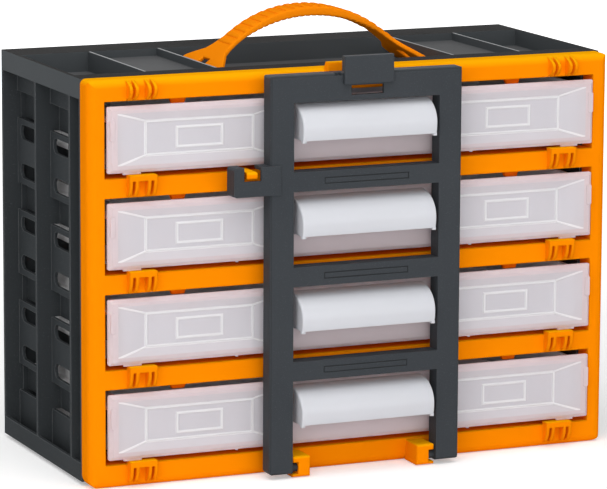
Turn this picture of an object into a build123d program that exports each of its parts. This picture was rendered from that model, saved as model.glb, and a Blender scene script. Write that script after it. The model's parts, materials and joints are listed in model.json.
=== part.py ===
import os
from math import acos, atan2, cos, hypot, pi, sin, tan

from build123d import *

os.makedirs("parts", exist_ok=True)

# Overall size. While modelling, y = 0 is the front face of the frame and +y runs to the back.
frame_width = 400.0
frame_height = 287.0
frame_depth = 15.5
body_depth = 179.0
pull_reach = 28.0
shell_lift = 3.0
wall = 2.5
side_outer = frame_width / 2

# Front frame and its bays, counted from the bottom.
bay_count = 4
post_width = 12.0
bottom_rail = 16.5
top_rail = 14.8
bar_height = 13.5
frame_corner_radius = 4.0
frame_foot_radius = 9.0
frame_edge_radius = 6.0
frame_front_wall = 3.2
frame_side_wall = 2.8
bar_wall = 2.4
rail_end_wall = 2.0
sill_shelf_depth = 42.0
sill_shelf_gap = 0.5
rail_rib_mid = 60.5
rail_rib_width = 3.0
opening_half = side_outer - post_width
opening_height = (frame_height - bottom_rail - top_rail - (bay_count - 1) * bar_height) / bay_count
bay_pitch = opening_height + bar_height
sills = [bottom_rail + bay * bay_pitch for bay in range(bay_count)]
opening_top = sills[-1] + opening_height

# Clip shelves on every sill and matching curved ribs on the top rail.
clip_inset = 26.2
clip_width = 20.2
clip_reach = 7.0
clip_rise = 2.6
clip_drop = 1.4
gusset_width = 2.2
gusset_inner = 4.6
top_rib_bulge = 8.0
top_rib_gap = 0.6
clip_mid = opening_half - clip_inset
gusset_outer = (clip_width - gusset_width) / 2
gusset_offsets = (-gusset_outer, -gusset_inner, gusset_inner, gusset_outer)

# Drawer stops under each rail.
stop_inset = 59.0
stop_width = 12.0
stop_depth = 3.5
stop_drop = 5.4
stop_mid = opening_half - stop_inset

# Shell walls. Heights of the ledges and slots are above the sill.
side_recess = 11.3
first_rib_gap = 21.1
rib_thickness = 2.6
flange_thickness = 2.5
bottom_band = 12.9
ledge_drop = 15.2
bulge_height = 19.8
bulge_depth = 6.7
slot_height = 10.8
slot_low_gap = 9.8
slot_high_gap = 9.3
slot_front_gap = 16.65
slot_back_gap = 5.6
back_rib_count = 3
back_rib_depth = 4.0
base_rib_count = 2
base_rib_height = 6.0
base_rib_gap = 1.0
side_wall_outer = side_outer - side_recess
side_wall_inner = side_wall_outer - wall
sill_shelf_half = side_wall_inner - sill_shelf_gap
bulge_inner = side_wall_inner - bulge_depth
bulge_high = opening_height - ledge_drop
bulge_low = bulge_high - bulge_height
slot_rows = (bulge_high + slot_low_gap, bay_pitch + bulge_low - slot_high_gap)
back_flange = body_depth - flange_thickness
first_rib = frame_depth + first_rib_gap
second_rib = (first_rib + back_flange) / 2

# Top tray.
tray_depth = 14.3
tray_thickness = 2.3
band_height = 14.5
ledge_depth = 12.0
shallow_depth = 5.5
shallow_thickness = 2.2
deck_thickness = 2.4
tray_front_deck = 18.0
tray_back_deck = 34.5
tray_rim = 2.8
tray_divider = 2.0
tray_middle_half = 92.0
tray_end_width = 55.0
tray_floor = frame_height - tray_depth
tray_under = tray_floor - tray_thickness
band_low = frame_height - band_height
ledge_floor = frame_height - ledge_depth
shallow_floor = frame_height - shallow_depth
tray_front = frame_depth + tray_front_deck
tray_back = body_depth - tray_back_deck
tray_outer_divider = side_outer - tray_end_width

# Drawers. Heights are above the sill.
front_proud = 4.6
front_chamfer = 2.6
front_corner = 1.2
front_side_gap = 1.4
front_low = 4.2
front_top_gap = 3.3
front_thickness = 4.8
tub_side_gap = 10.0
tub_low = 5.5
tub_drop = 3.1
tub_back_gap = 14.0
tub_corner = 4.0
tub_wall = 1.8
ledge_play = 0.4
runner_side_gap = 2.7
runner_thickness = 2.0
runner_front_gap = 1.5
runner_back_gap = 5.0
ear_top_gap = 2.8
front_half = opening_half - front_side_gap
front_high = opening_height - front_top_gap
tub_half = opening_half - tub_side_gap
tub_high = front_high - tub_drop
tub_back = body_depth - tub_back_gap
runner_half = opening_half - runner_side_gap
ear_high = opening_height - ear_top_gap

# Sunk panels and small marks on each drawer front.
dish_depth = 2.4
dish_start = 58.5
dish_side_gap = 6.6
dish_low_gap = 5.4
dish_top_gap = 4.7
dish_run_inner = 19.9
dish_run_outer = 21.0
dish_run_low = 6.2
dish_run_high = 6.1
ridge_radius = 0.7
ridge_line = 1.1
label_width = 34.9
label_height = 14.8
label_drop = 0.35
label_line = 1.3
label_rise = 0.6
tongue_shift = 0.2
tongue_width = 13.0
tongue_drop = 1.3
nub_mid = 90.2
nub_width = 1.6
nub_drop = 0.8
bump_inset = 1.0
bump_width = 3.7
bump_proud = 0.5
bump_radius = 1.4
bump_drop = 8.8
bump_height = 14.8
dish_end = front_half - dish_side_gap
dish_outer = (dish_start, dish_end, front_low + dish_low_gap, front_high - dish_top_gap)
dish_inner = (dish_start + dish_run_inner, dish_end - dish_run_outer,
              dish_outer[2] + dish_run_low, dish_outer[3] - dish_run_high)
label_mid = (dish_inner[0] + dish_inner[1]) / 2
label_low = (dish_inner[2] + dish_inner[3] - label_height) / 2 - label_drop
label_frame = (label_mid - label_width / 2, label_mid + label_width / 2, label_low, label_low + label_height)

# Drawer dividers.
divider_inset = 53.6
divider_thickness = 1.4
divider_drop = 4.9
guide_size = 1.6
divider_play = 0.3
divider_mid = tub_half - divider_inset
divider_top = tub_high - divider_drop

# Locking grille.
grille_gap = 4.6
grille_depth = 12.1
grille_half = 73.4
grille_side_bar = 17.7
grille_low = 3.5
grille_top_gap = 0.5
grille_top_bar = 19.3
grille_wall = 2.5
grille_side_wall = 2.4
crossbar_height = 13.8
crossbar_lift = 0.0
grille_edge_radius = 2.2
grille_corner_radius = 1.5
grille_foot_radius = 3.0
mark_half = 32.4
mark_height = 4.8
mark_line = 0.8
mark_depth = 0.4
mark_drop = 0.0
grille_back = front_proud + grille_gap
grille_front = grille_back + grille_depth
grille_inner = grille_half - grille_side_bar
grille_high = frame_height - grille_top_gap
grille_top_low = grille_high - grille_top_bar

# Hinge of the grille.
hinge_height = 7.0
pin_radius = 3.0
running_play = 0.06
pin_end_gap = 2.5
pin_cover = 7.0
lug_side_gap = 0.8
lug_width = 13.4
lug_slot_width = 4.3
lug_inset = 1.3
lug_low = 0.6
lug_high = 15.5
lug_notch = 4.4
lug_edge_radius = 2.0
lug_side_radius = 1.2
bearing_end_play = 0.4
hinge_depth = (grille_front + grille_back) / 2
lug_outer = grille_inner - lug_side_gap
lug_inner = lug_outer - lug_width
lug_web_outer = lug_outer - lug_slot_width
lug_front = grille_front - lug_inset
pin_inner = lug_inner + pin_end_gap

# Padlock tab on the grille and the lug of the frame that passes it.
lock_lug_mid = 87.0
lock_lug_width = 8.0
lock_lug_drop = 3.0
lock_lug_height = 5.0
tab_side_play = 2.5
tab_low_play = 1.1
tab_end = 14.0
tab_overlap = 7.6
tab_drop = 14.9
tab_height = 20.5
tab_proud = 1.0
lock_lug_low = sills[-1] - lock_lug_drop
tab_left = lock_lug_mid + tab_end
tab_low = sills[-1] - tab_drop
tab_high = tab_low + tab_height
tab_front = grille_front + tab_proud
tab_notch_half = lock_lug_width / 2 + tab_side_play

# Latch.
latch_half = 18.8
latch_rise = 12.0
latch_height = 19.9
latch_proud = 3.3
latch_plate = 2.6
latch_cap_gap = 1.2
latch_cap_inset = 2.1
latch_axis_inset = 5.3
latch_axis_drop = 4.8
latch_pin_radius = 1.8
latch_pin_end = 0.3
latch_arm_half = 13.5
latch_arm_height = 2.8
latch_arm_play = 1.3
latch_rib_gap = 2.5
latch_rib_width = 3.5
latch_window_half = 12.3
latch_window_height = 6.7
latch_window_gap = 1.0
latch_notch_gap = 0.6
latch_notch_width = 5.4
hook_half = 10.0
hook_lift = 0.7
hook_height = 3.0
hook_gap = 1.2
catch_half = 24.0
catch_slope = 2.5
catch_reach = 3.0
catch_back = 3.5
catch_rise = 4.6
latch_high = grille_high + latch_rise
latch_low = latch_high - latch_height
latch_front = grille_front + latch_proud
latch_cap_low = grille_high + latch_cap_gap
latch_cap_back = grille_front - latch_cap_inset
latch_axis_depth = grille_front - latch_axis_inset
latch_axis_height = grille_high - latch_axis_drop
latch_slot_low = latch_axis_height - latch_arm_height / 2 - latch_arm_play
latch_rib_inner = latch_arm_half + latch_rib_gap
latch_rib_outer = latch_rib_inner + latch_rib_width
latch_window_high = latch_low - latch_window_gap
hook_low = latch_cap_low + hook_lift
hook_back = catch_reach + hook_gap
catch_high = frame_height + catch_rise

# Pulls. Heights are above the sill.
pull_side_gap = 4.5
pull_top_gap = 2.6
pull_crown = 17.4
pull_lip_drop = 7.9
pull_tuck = 1.1
pull_thickness = 2.0
pull_edge_radius = 1.2
pull_plate_height = 11.9
pull_plate_thickness = 1.6
pull_foot_width = 2.6
pull_foot_depth = 3.2
pull_foot_drop = 1.6
pull_peg_radius = 2.0
pull_peg_inset = 13.2
pull_peg_drop = 5.4
peg_play = 0.05
pull_half = grille_inner - pull_side_gap
pull_top = front_high - pull_top_gap
pull_belly = pull_top - pull_crown
pull_lip = pull_belly - pull_lip_drop
pull_peg_mid = pull_half - pull_peg_inset
pull_peg_height = pull_top - pull_peg_drop

# Carrying strap.
strap_rise = 33.8
strap_radius = 90.0
strap_thickness = 6.0
strap_leg_thickness = 3.0
strap_width = 26.0
strap_neck_width = 35.4
strap_foot_width = 72.0
strap_end_gap = 0.4
strap_end_height = 3.5
strap_pad_length = 10.6
strap_flare_length = 11.0
strap_taper_length = 9.0
strap_hole_gap = 5.9
strap_hole_length = 8.0
strap_hole_half = 7.0
tongue_reach = 6.0
tongue_half = 12.0
tongue_height = 3.4
tongue_play = 0.4
grip_rib_radius = 1.0
grip_rib_rise = 0.7
grip_rib_count = 20
grip_end_gap = 1.0
strap_crown = frame_height + strap_rise
strap_mid = (tray_front + tray_back) / 2
strap_end = tray_middle_half - tray_divider / 2 - strap_end_gap
strap_flare_end = strap_end - strap_pad_length
strap_flare_start = strap_flare_end - strap_flare_length
strap_taper_start = strap_flare_start - strap_taper_length
strap_hole_end = strap_end - strap_hole_gap
grip_half_span = strap_taper_start - grip_end_gap
tongue_end = tray_middle_half + tongue_reach

# Feet.
foot_side_gap = 50.0
foot_half = 13.0
foot_length = 16.0
foot_inset = 8.0
foot_chamfer = 1.0
foot_mid = side_outer - foot_side_gap


def block(x0, x1, y0, y1, z0, z1):
    return Pos((x0 + x1) / 2, (y0 + y1) / 2, (z0 + z1) / 2) * Box(x1 - x0, y1 - y0, z1 - z0)


def mirrored(shape):
    return mirror(shape, about=Plane.YZ)


def evenly(low, high, count):
    return [low + (high - low) * (index + 1) / (count + 1) for index in range(count)]


def prism_x(points, x0, x1):
    outline = Polyline(*[(x0, y, z) for y, z in points], close=True)
    return extrude(make_face(outline), amount=x1 - x0, dir=(1, 0, 0))


def prism_y(points, y0, y1):
    outline = Polyline(*[(x, y0, z) for x, z in points], close=True)
    return extrude(make_face(outline), amount=y1 - y0, dir=(0, 1, 0))


def prism_z(points, z0, z1):
    outline = Polyline(*[(x, y, z0) for x, y in points], close=True)
    return extrude(make_face(outline), amount=z1 - z0, dir=(0, 0, 1))


def rod_x(x0, x1, y, z, radius):
    return Pos((x0 + x1) / 2, y, z) * Rot(0, 90, 0) * Cylinder(radius, x1 - x0)


def rod_y(x, y0, y1, z, radius):
    return Pos(x, (y0 + y1) / 2, z) * Rot(90, 0, 0) * Cylinder(radius, y1 - y0)


def rod_between(start, end, radius):
    span = Vector(*end) - Vector(*start)
    place = Plane(origin=Vector(*start) + span * 0.5, z_dir=span)
    return place * Cylinder(radius, span.length)


def gussets(x_mid, points):
    result = []
    for offset in gusset_offsets:
        x0 = x_mid + offset - gusset_width / 2
        result.append(prism_x(points, x0, x0 + gusset_width))
    return result


def clip(x_mid, sill):
    top = sill - clip_drop
    low = sill - bar_height + 0.8
    points = [(1.0, top + 1.0), (-clip_reach, top + 1.0)]
    for step in range(7):
        angle = step * pi / 12
        points.append((-clip_reach * cos(angle), top - (top - low) * sin(angle)))
    points.append((1.0, low))
    shelf = block(x_mid - clip_width / 2, x_mid + clip_width / 2, -clip_reach, 1.0, top, sill + clip_rise)
    return [shelf] + gussets(x_mid, points)


def top_ribs(x_mid):
    low = opening_top + 0.5
    high = frame_height - top_rib_gap
    points = [(frame_edge_radius, low), (frame_edge_radius, high)]
    for step in range(17):
        share = step / 16
        height = high - (high - low) * share
        up = max(0.0, height - frame_height + frame_edge_radius)
        face = frame_edge_radius - (frame_edge_radius ** 2 - up ** 2) ** 0.5
        points.append((face + 0.2 - top_rib_bulge * sin(pi * share) ** 0.7, height))
    return gussets(x_mid, points)


def make_frame():
    half = side_outer
    plain = block(-half, half, 0, frame_depth, 0, frame_height)
    front_edges = plain.faces().sort_by(Axis.Y)[0].edges()
    corners = plain.edges().filter_by(Axis.Y).sort_by(Axis.Z)
    body = fillet(corners[-2:], frame_corner_radius) & fillet(corners[:2], frame_foot_radius)
    body = body & fillet(front_edges.filter_by(Axis.X), frame_edge_radius)
    body = body & fillet(front_edges.filter_by(Axis.Z), frame_edge_radius)
    cuts = [block(-opening_half, opening_half, -1, frame_depth + 1, sill, sill + opening_height)
            for sill in sills]
    rails = [(frame_side_wall, sills[0] - bar_wall), (opening_top + bar_wall, frame_height - frame_side_wall)]
    rails += [(sill - bar_height + bar_wall, sill - bar_wall) for sill in sills[1:]]
    rail_end = opening_half - rail_end_wall
    rib_inner = rail_rib_mid - rail_rib_width / 2
    rib_outer = rail_rib_mid + rail_rib_width / 2
    for low, high in rails:
        for x0, x1 in ((-rail_end, -rib_outer), (-rib_inner, rib_inner), (rib_outer, rail_end)):
            cuts.append(block(x0, x1, frame_front_wall, frame_depth + 1, low, high))
    for sill in sills:
        x0 = opening_half + bar_wall
        post = block(x0, half - frame_side_wall, frame_front_wall, frame_depth + 1,
                     sill + 1, sill + opening_height - 1)
        cuts += [post, mirrored(post)]
    body = body - cuts
    extras = []
    for sill in sills:
        extras.append(block(-sill_shelf_half, sill_shelf_half, frame_depth - 1, sill_shelf_depth,
                            sill - bar_wall, sill))
        for side in (-1, 1):
            extras += clip(side * clip_mid, sill)
            x0 = side * stop_mid - stop_width / 2
            top = sill + opening_height
            points = [(x0 - 1, top + 1), (x0 + 1.5, top - stop_drop),
                      (x0 + stop_width - 1.5, top - stop_drop), (x0 + stop_width + 1, top + 1)]
            extras.append(prism_y(points, frame_depth - stop_depth, frame_depth))
    for side in (-1, 1):
        extras += top_ribs(side * clip_mid)
    catch_top = catch_half - catch_slope
    points = [(-catch_half, frame_height - 6), (catch_half, frame_height - 6),
              (catch_top, catch_high), (-catch_top, catch_high)]
    extras.append(prism_y(points, -catch_reach, catch_back))
    extras.append(block(-catch_half, catch_half, 0, catch_back, frame_height - 7, frame_height - 5))
    hook = block(-lock_lug_mid - lock_lug_width / 2, -lock_lug_mid + lock_lug_width / 2, -grille_front, 1,
                 lock_lug_low, lock_lug_low + lock_lug_height)
    hook = fillet(hook.edges().filter_by(Axis.X).sort_by(Axis.Y)[0:2], lug_edge_radius)
    extras.append(hook)
    plain = block(lug_inner, lug_outer, -lug_front, 1, lug_low, lug_high)
    lug = fillet(plain.edges().filter_by(Axis.X).sort_by(Axis.Y)[0:2], lug_edge_radius)
    lug = lug & fillet(plain.edges().filter_by(Axis.Z).sort_by(Axis.Y)[0:2], lug_side_radius)
    lug = lug & fillet(plain.edges().filter_by(Axis.Y).sort_by(Axis.Z)[-2:], lug_side_radius)
    notch = block(lug_web_outer, lug_outer + 1, -lug_front - 1, -hinge_depth + lug_notch + 2,
                  hinge_height - lug_notch, hinge_height + lug_notch)
    bearing = rod_x(pin_inner - bearing_end_play, lug_web_outer + 1, -hinge_depth, hinge_height,
                    pin_radius + running_play)
    lug = lug - notch - bearing
    extras += [lug, mirrored(lug)]
    return body + extras


def make_side():
    low = shell_lift
    outer = -side_outer
    face = -side_wall_outer
    inner = -side_wall_inner
    deep = -bulge_inner
    front = frame_depth
    panel = block(face, inner, front, body_depth, low, tray_under)
    extras = [block(outer, face, front, front + flange_thickness, low, band_low),
              block(outer, face, back_flange, body_depth, low, band_low),
              block(outer, outer + wall, front, body_depth, low, low + bottom_band),
              block(outer, inner, front, body_depth, low, low + wall)]
    for depth in (first_rib, second_rib):
        extras.append(block(outer, face, depth, depth + rib_thickness, low, band_low))
    for sill in sills:
        extras.append(block(face, deep, front, back_flange, sill + bulge_low, sill + bulge_high))
    panel = panel + extras
    cuts = []
    bays = [(front + flange_thickness, first_rib), (first_rib + rib_thickness, second_rib),
            (second_rib + rib_thickness, back_flange)]
    for y0, y1 in bays:
        for sill in sills:
            cuts.append(block(face - 0.1, deep - wall, y0, y1,
                              sill + bulge_low + wall, sill + bulge_high - wall))
            cuts.append(block(face - 0.1, face + bulge_depth, y0, y1, sill + bulge_low, sill + bulge_high))
    radius = slot_height / 2
    for bay_front, bay_back in bays[1:]:
        y0 = bay_front + slot_front_gap + radius
        y1 = bay_back - slot_back_gap - radius
        for sill in sills[:-1]:
            for row in slot_rows:
                z = sill + row
                middle = block(face - 1, inner + 1, y0, y1, z - radius, z + radius)
                ends = [rod_x(face - 1, inner + 1, y, z, radius) for y in (y0, y1)]
                cuts += [middle] + ends
    return panel - cuts


def make_tray():
    front = frame_depth
    half = side_outer
    body = block(-half, half, front, body_depth, band_low, frame_height)
    body = body + block(-side_wall_outer, side_wall_outer, front, body_depth, tray_under, ledge_floor)
    middle = tray_middle_half
    outer = tray_outer_divider
    t = tray_divider / 2
    top = frame_height + 1
    edge = half - tray_rim
    ledge = side_wall_inner
    cuts = [block(-middle + t, middle - t, tray_front, tray_back, tray_floor, top)]
    pocket = block(middle + t, outer - t, tray_front, tray_back, shallow_floor, top)
    deep = block(outer + t, edge, tray_front, tray_back, ledge_floor, top)
    deep = deep + block(outer + t, ledge, tray_front, tray_back, tray_floor, top)
    hollow = block(middle + t, outer - t, tray_front, tray_back, tray_under - 1,
                   shallow_floor - shallow_thickness)
    slot = block(middle - t - 1, middle + t + 1, strap_mid - tongue_half - tongue_play,
                 strap_mid + tongue_half + tongue_play, tray_floor, tray_floor + tongue_height + tongue_play)
    for cut in (pocket, deep, hollow, slot):
        cuts += [cut, mirrored(cut)]
    roof = frame_height - deck_thickness
    for y0, y1 in ((front + wall, tray_front - wall), (tray_back + wall, body_depth - wall)):
        for x0, x1 in ((-side_wall_inner + wall, -wall / 2), (wall / 2, side_wall_inner - wall)):
            cuts.append(block(x0, x1, y0, y1, tray_under - 1, roof))
    return body - cuts


def make_back():
    low = shell_lift
    half = side_wall_inner
    front = body_depth - wall
    plate = block(-half, half, front, body_depth, low, tray_under)
    ribs = [block(x - wall / 2, x + wall / 2, front - back_rib_depth, body_depth, low + wall, tray_under)
            for x in evenly(-half, half, back_rib_count)]
    return plate + ribs


def make_base():
    half = side_wall_inner
    back = body_depth - wall
    top = shell_lift + wall
    plate = block(-half, half, frame_depth, back, shell_lift, top)
    ribs = [block(-half, half, y - wall / 2, y + wall / 2, shell_lift, top + base_rib_height)
            for y in evenly(frame_depth, back, base_rib_count)]
    ribs += [block(x - wall / 2, x + wall / 2, frame_depth, back - back_rib_depth - base_rib_gap,
                   shell_lift, top + base_rib_height) for x in evenly(-half, half, back_rib_count)]
    return plate + ribs


def make_feet():
    y1 = body_depth - foot_inset
    foot = block(foot_mid - foot_half, foot_mid + foot_half, y1 - foot_length, y1, 0, shell_lift)
    foot = chamfer(foot.faces().sort_by(Axis.Z)[0].edges(), foot_chamfer)
    return Compound(children=[foot, mirrored(foot)])


def ring(span, line, y):
    x0, x1, z0, z1 = span
    plate = block(x0, x1, y - label_rise, y + 0.5, z0, z1)
    return plate - block(x0 + line, x1 - line, y - 1, y + 1, z0 + line, z1 - line)


def dish(side):
    ox0, ox1, oz0, oz1 = dish_outer
    ix0, ix1, iz0, iz1 = dish_inner
    y0 = -front_proud
    y1 = y0 + dish_depth
    outer = [(ox0, oz0), (ox1, oz0), (ox1, oz1), (ox0, oz1)]
    inner = [(ix0, iz0), (ix1, iz0), (ix1, iz1), (ix0, iz1)]
    outer_face = make_face(Polyline(*[(x, y0, z) for x, z in outer], close=True))
    inner_face = make_face(Polyline(*[(x, y1, z) for x, z in inner], close=True))
    cut = loft([outer_face, inner_face], ruled=True)
    ridges = []
    for index in range(4):
        a = (outer[index][0], y0 + ridge_radius, outer[index][1])
        b = (inner[index][0], y1, inner[index][1])
        ridges.append(rod_between(a, b, ridge_radius))
    ridges.append(ring(dish_inner, ridge_line, y1))
    ridges.append(ring(label_frame, label_line, y1))
    if side < 0:
        return mirrored(cut), [mirrored(ridge) for ridge in ridges]
    return cut, ridges


def make_drawer():
    y0 = -front_proud
    y1 = y0 + front_thickness
    edge = y0 + front_chamfer
    plain = block(-front_half, front_half, y0, y1, front_low, front_high)
    front_edges = plain.faces().sort_by(Axis.Y)[0].edges()
    front = fillet(plain.edges().filter_by(Axis.Y), front_corner)
    front = front & chamfer(front_edges.filter_by(Axis.X), front_chamfer)
    front = front & chamfer(front_edges.filter_by(Axis.Z), front_chamfer)
    tub = block(-tub_half, tub_half, y1 - 1, tub_back, tub_low, tub_high)
    tub = fillet(tub.edges().filter_by(Axis.Z).sort_by(Axis.Y)[-2:], tub_corner)
    inside = block(-tub_half + tub_wall, tub_half - tub_wall, y1, tub_back - tub_wall,
                   tub_low + tub_wall, front_high + 5)
    inside = fillet(inside.edges().filter_by(Axis.Z).sort_by(Axis.Y)[-2:], tub_corner - tub_wall)
    body = front + tub
    ridges = []
    for side in (-1, 1):
        cut, marks = dish(side)
        body = body - cut
        ridges += marks
    runner_low = bulge_high + ledge_play
    runner = block(tub_half - 0.5, runner_half, y1 + runner_front_gap, tub_back - runner_back_gap,
                   runner_low, runner_low + runner_thickness)
    ear = block(stop_mid - stop_width / 2, stop_mid + stop_width / 2, tub_back - tub_wall, tub_back,
                tub_high - 1, ear_high)
    tongue_start = clip_mid + tongue_shift
    tongue = block(tongue_start, tongue_start + tongue_width, edge, y1,
                   front_low - tongue_drop, front_low + 1)
    bump_high = front_high - bump_drop
    bump_end = front_half - bump_inset
    bump = block(bump_end - bump_width, bump_end, y0 - bump_proud, y1, bump_high - bump_height, bump_high)
    bump = fillet(bump.edges().filter_by(Axis.Y), bump_radius)
    nub = block(nub_mid - nub_width / 2, nub_mid + nub_width / 2, edge, y1,
                front_low - nub_drop, front_low + 1)
    extras = []
    for piece in (runner, ear, tongue, bump, nub):
        extras += [piece, mirrored(piece)]
    body = (body + ridges + extras) - inside
    guides = []
    for side in (-1, 1):
        for offset in (-1, 1):
            x = side * divider_mid + offset * (divider_thickness / 2 + divider_play + guide_size / 2)
            guides.append(block(x - guide_size / 2, x + guide_size / 2, y1 - 0.5, y1 + guide_size,
                                tub_low + 1, divider_top))
            guides.append(block(x - guide_size / 2, x + guide_size / 2, tub_back - tub_wall - guide_size,
                                tub_back - 0.5, tub_low + 1, divider_top))
    body = body + guides
    pegs = [rod_y(side * pull_peg_mid, y0 - 1, y1 + 1, pull_peg_height, pull_peg_radius + peg_play)
            for side in (-1, 1)]
    return body - pegs


def pull_section(inset, x0, x1):
    y0 = -front_proud
    y_belly = -pull_reach + inset
    y_lip = y_belly + pull_tuck
    top = pull_top - inset
    upper = EllipticalCenterArc((0, 0), y0 - y_belly, top - pull_belly, start_angle=90, arc_size=90)
    upper = Plane(origin=(x0, y0, pull_belly), x_dir=(0, 1, 0), z_dir=(1, 0, 0)) * upper
    lower = TangentArc((x0, y_belly, pull_belly), (x0, y_lip, pull_lip), tangent=(0, 0, -1))
    rest = Polyline((x0, y_lip, pull_lip), (x0, y0, pull_lip), (x0, y0, top))
    return extrude(make_face([upper, lower, rest]), amount=x1 - x0, dir=(1, 0, 0))


def make_pull():
    y0 = -front_proud
    inner = pull_half - pull_thickness
    shell = pull_section(0, -pull_half, pull_half)
    rims = [edge for edge in shell.edges()
            if abs(edge.center().X) > pull_half - 0.01 and edge.center().Y < y0 - 1
            and edge.center().Z > pull_lip + 0.5]
    shell = fillet(rims, pull_edge_radius)
    hollow = pull_section(pull_thickness, -inner, inner)
    plate = block(-pull_half, pull_half, y0 - pull_plate_thickness, y0,
                  pull_top - pull_plate_height, pull_top)
    lip_y = -pull_reach + pull_tuck + 0.3
    foot = block(pull_half - pull_foot_width, pull_half, lip_y, lip_y + pull_foot_depth,
                 pull_lip - pull_foot_drop, pull_lip + 0.5)
    pegs = [rod_y(side * pull_peg_mid, y0 - 0.8, y0 + front_thickness, pull_peg_height, pull_peg_radius)
            for side in (-1, 1)]
    return shell - (hollow - plate) + [foot, mirrored(foot)] + pegs


def make_divider():
    y0 = -front_proud + front_thickness + divider_play
    y1 = tub_back - tub_wall - divider_play
    return block(divider_mid - divider_thickness / 2, divider_mid + divider_thickness / 2, y0, y1,
                 tub_low + tub_wall, divider_top)


def make_grille():
    y0 = -grille_front
    y1 = -grille_back
    plain = block(-grille_half, grille_half, y0, y1, grille_low, grille_high)
    front_edges = plain.faces().sort_by(Axis.Y)[0].edges()
    corners = plain.edges().filter_by(Axis.Y).sort_by(Axis.Z)
    body = fillet(corners[-2:], grille_corner_radius) & fillet(corners[:2], grille_foot_radius)
    body = body & fillet(front_edges.filter_by(Axis.X), grille_edge_radius)
    body = body & fillet(front_edges.filter_by(Axis.Z), grille_edge_radius)
    bars = [(sill - bar_height / 2 + crossbar_lift - crossbar_height / 2,
             sill - bar_height / 2 + crossbar_lift + crossbar_height / 2) for sill in sills[1:]]
    lows = [grille_low - 1] + [high for low, high in bars]
    highs = [low for low, high in bars] + [grille_top_low]
    cuts = [block(-grille_inner, grille_inner, y0 - 1, y1 + 1, low, high) for low, high in zip(lows, highs)]
    depth = y0 + grille_wall
    thin = grille_side_wall
    side = block(grille_inner + thin, grille_half - thin, depth, y1 + 1, hinge_height + pin_cover,
                 grille_high - thin)
    cuts += [side, mirrored(side)]
    for low, high in bars + [(grille_top_low, grille_high)]:
        cuts.append(block(-grille_inner + 0.7, grille_inner - 0.7, depth, y1 + 1, low + thin, high - thin))
    for low, high in bars:
        z = (low + high) / 2 - mark_drop
        mark = block(-mark_half, mark_half, y0 - 1, y0 + mark_depth, z - mark_height / 2, z + mark_height / 2)
        mark = mark - block(-mark_half + mark_line, mark_half - mark_line, y0 - 2, y0 + 1,
                            z - mark_height / 2 + mark_line, z + mark_height / 2 - mark_line)
        cuts.append(mark)
    cuts.append(block(-latch_window_half, latch_window_half, y0 - 1, depth + 0.5,
                      latch_window_high - latch_window_height, latch_window_high))
    cuts.append(block(-latch_arm_half - 1, latch_arm_half + 1, y0 - 1, depth + 0.5,
                      latch_slot_low, grille_high - thin))
    notch_end = -latch_half - latch_notch_gap
    cuts.append(block(notch_end - latch_notch_width, notch_end, y0 - 1, y0 + 5,
                      grille_high - 2, grille_high + 1))
    body = body - cuts
    tab = block(-tab_left, -grille_half + 1, -tab_front, y1, tab_low, tab_high)
    tab = tab + block(-tab_left, -grille_half + tab_overlap, -tab_front, y0 + 1, tab_low, tab_high)
    tab = fillet(tab.edges().filter_by(Axis.Y).sort_by(Axis.X)[0:2], lug_edge_radius)
    tab = tab - block(-tab_left + wall, -grille_half, -tab_front + wall, y1 + 1,
                      tab_low + wall, tab_high - wall)
    tab = tab - block(-lock_lug_mid - tab_notch_half, -lock_lug_mid + tab_notch_half, -tab_front - 1, y1 + 1,
                      lock_lug_low - tab_low_play, tab_high + 1)
    ribs = []
    for sign in (-1, 1):
        x0, x1 = sorted((sign * latch_rib_inner, sign * latch_rib_outer))
        rib = block(x0, x1, depth - 0.5, y1 - 2, grille_top_low + 1, grille_high - 1)
        hole = rod_x(x0 - 1, x1 + 1, -latch_axis_depth, latch_axis_height, latch_pin_radius + running_play)
        ribs.append(rib - hole)
    pin = rod_x(pin_inner, grille_inner + 3, -hinge_depth, hinge_height, pin_radius)
    return body + [tab] + ribs + [pin, mirrored(pin)]


def make_latch():
    y0 = -latch_front
    plate = block(-latch_half, latch_half, y0, y0 + latch_plate, latch_low, latch_high)
    cap = block(-latch_half, latch_half, y0, -latch_cap_back, latch_cap_low, latch_high)
    body = plate + cap
    body = fillet(body.faces().sort_by(Axis.Y)[0].edges(), 0.8)
    hook = block(-hook_half, hook_half, -latch_cap_back - 1, -hook_back, hook_low, hook_low + hook_height)
    arm = block(-latch_arm_half, latch_arm_half, y0 + latch_plate - 0.5, -latch_axis_depth,
                latch_axis_height - latch_arm_height / 2, latch_axis_height + latch_arm_height / 2)
    pin_end = latch_rib_outer - latch_pin_end
    pin = rod_x(-pin_end, pin_end, -latch_axis_depth, latch_axis_height, latch_pin_radius)
    return body + [hook, arm, pin]


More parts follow.
